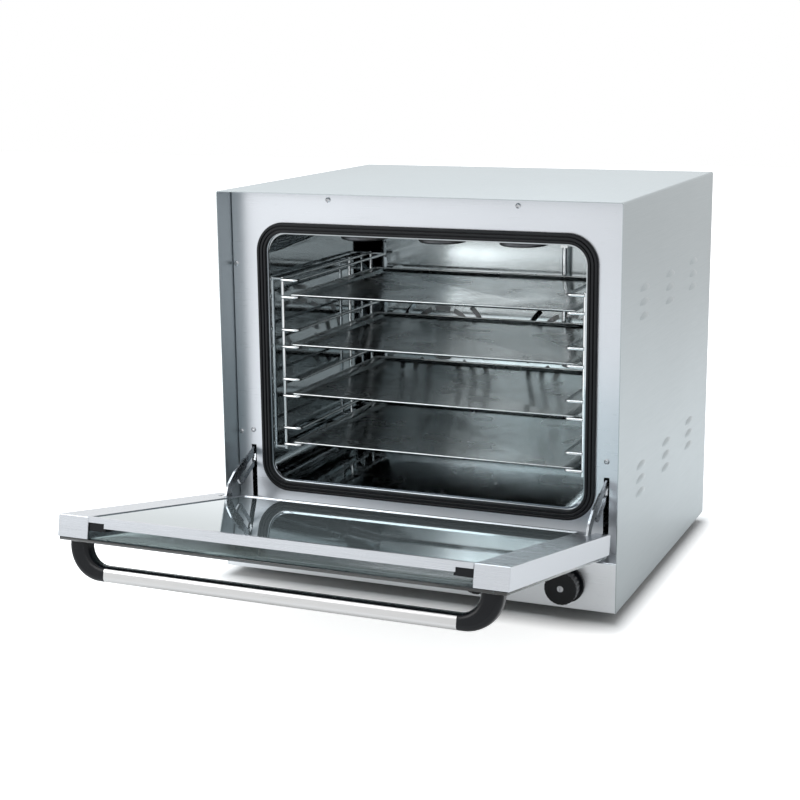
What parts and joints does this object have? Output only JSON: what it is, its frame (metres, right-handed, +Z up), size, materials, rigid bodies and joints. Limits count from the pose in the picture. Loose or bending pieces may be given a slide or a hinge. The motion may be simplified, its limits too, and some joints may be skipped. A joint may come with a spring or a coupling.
{
  "type": "convection oven",
  "caption": "Bench-top convection oven: steel cabinet, fold-down glass door with loop handle, wire racks with shallow trays, fans behind a slotted baffle.",
  "frame": {"origin": "middle of the footprint of the whole object with its door lying open, on the surface that the feet stand on", "axes": "+Z up, +X to the right seen from the front, door at -Y"},
  "size_m": [0.6006, 0.9761, 0.57],
  "materials": {
    "cover_steel": "fine satin stainless",
    "frame_steel": "satin stainless",
    "liner_steel": "mirror-polished stainless",
    "wire_chrome": "bright plated wire",
    "tray_aluminium": "bright rolled aluminium",
    "element_sheath": "heat-darkened steel tube",
    "gasket_rubber": "black silicone",
    "foot_rubber": "black",
    "pane_mirror": "reflective coated glass",
    "pane_tinted": "dark teal float glass",
    "handle_plastic": "black, semi-gloss",
    "polished_steel": "polished tube",
    "hinge_steel": "zinc-plated steel",
    "knob_plastic": "black",
    "lamp_lens": "translucent lens",
    "fan_aluminium": "pressed sheet",
    "motor_paint": "grey laminations",
    "switch_plastic": "moulded",
    "terminal_ceramic": "unglazed",
    "wool": "mineral wool",
    "screw_steel": "stainless"
  },
  "bodies": {
    "root": {"outer_cover": "cover_steel", "rear_panel": "cover_steel", "base_pan": "cover_steel", "front_frame": "frame_steel", "control_panel": "frame_steel", "cavity_liner": "liner_steel", "fan_baffle": "liner_steel", "element_hanger": "liner_steel", "door_gasket": "gasket_rubber", "rack_left": "wire_chrome", "rack_right": "wire_chrome", "grill_element": "element_sheath", "ring_element_left": "element_sheath", "ring_element_right": "element_sheath", "motor_left": "motor_paint", "motor_right": "motor_paint", "thermostat_body": "switch_plastic", "timer_body": "switch_plastic", "thermostat_bulb": "wire_chrome", "indicator_lamps": "lamp_lens", "terminal_block": "terminal_ceramic", "cable_gland": "switch_plastic", "foot_front_left": "foot_rubber", "foot_front_right": "foot_rubber", "foot_rear_left": "foot_rubber", "foot_rear_right": "foot_rubber", "hinge_housing_left": "hinge_steel", "hinge_housing_right": "hinge_steel", "hinge_pins": "hinge_steel", "hinge_springs": "hinge_steel", "frame_screws": "screw_steel", "cover_screws": "screw_steel", "insulation": "wool"},
    "door": {"door_channel_left": "frame_steel", "door_channel_right": "frame_steel", "door_inner_glass": "pane_mirror", "door_outer_glass": "pane_tinted", "door_rail": "frame_steel", "door_hinge_rail": "frame_steel", "glass_blocks": "handle_plastic", "handle_core": "handle_plastic", "handle_sleeve": "polished_steel", "handle_screws": "screw_steel", "hinge_lever_left": "hinge_steel", "hinge_lever_right": "hinge_steel", "stay_pins": "hinge_steel"},
    "stay_left": {"stay_left": "hinge_steel"},
    "stay_right": {"stay_right": "hinge_steel"},
    "thermostat_dial": {"thermostat_knob": "knob_plastic", "thermostat_spindle": "polished_steel"},
    "timer_dial": {"timer_knob": "knob_plastic", "timer_spindle": "polished_steel"},
    "tray_1": {"tray_1": "tray_aluminium"},
    "tray_2": {"tray_2": "tray_aluminium"},
    "tray_3": {"tray_3": "tray_aluminium"},
    "tray_4": {"tray_4": "tray_aluminium"},
    "fan_left": {"fan_wheel_left": "fan_aluminium", "fan_shaft_left": "polished_steel"},
    "fan_right": {"fan_wheel_right": "fan_aluminium", "fan_shaft_right": "polished_steel"}
  },
  "joints": [
    {"name": "door_hinge", "type": "hinge", "parent": "root", "child": "door", "pos_m": [0, -0.05594, 0.0926], "axis": [-1, 0, 0], "range_deg": [0, 79]},
    {"name": "stay_left_pivot", "type": "hinge", "parent": "door", "child": "stay_left", "pos_m": [-0.27, -0.10222, 0.1291], "axis": [-1, 0, 0], "range_deg": [-64, 1]},
    {"name": "stay_right_pivot", "type": "hinge", "parent": "door", "child": "stay_right", "pos_m": [0.27, -0.10222, 0.1291], "axis": [-1, 0, 0], "range_deg": [-64, 1]},
    {"name": "thermostat_turn", "type": "hinge", "parent": "root", "child": "thermostat_dial", "pos_m": [0.227, -0.05594, 0.05], "axis": [0, 1, 0], "range_deg": [0, 270]},
    {"name": "timer_turn", "type": "hinge", "parent": "root", "child": "timer_dial", "pos_m": [0.105, -0.05594, 0.05], "axis": [0, 1, 0], "range_deg": [0, 300]},
    {"name": "tray_1_slide", "type": "slide", "parent": "root", "child": "tray_1", "axis": [0, 1, 0], "range_m": [-0.2, 0]},
    {"name": "tray_2_slide", "type": "slide", "parent": "root", "child": "tray_2", "axis": [0, 1, 0], "range_m": [-0.2, 0]},
    {"name": "tray_3_slide", "type": "slide", "parent": "root", "child": "tray_3", "axis": [0, 1, 0], "range_m": [-0.2, 0]},
    {"name": "tray_4_slide", "type": "slide", "parent": "root", "child": "tray_4", "axis": [0, 1, 0], "range_m": [-0.2, 0]},
    {"name": "fan_left_spin", "type": "hinge", "parent": "root", "child": "fan_left", "pos_m": [-0.108, 0.38956, 0.3], "axis": [0, 1, 0], "continuous": true},
    {"name": "fan_right_spin", "type": "hinge", "parent": "root", "child": "fan_right", "pos_m": [0.108, 0.38956, 0.3], "axis": [0, 1, 0], "continuous": true}
  ],
  "couplings": [
    {"joint": "stay_left_pivot", "follows": "door_hinge", "ratio": -0.8},
    {"joint": "stay_right_pivot", "follows": "door_hinge", "ratio": -0.8}
  ]
}
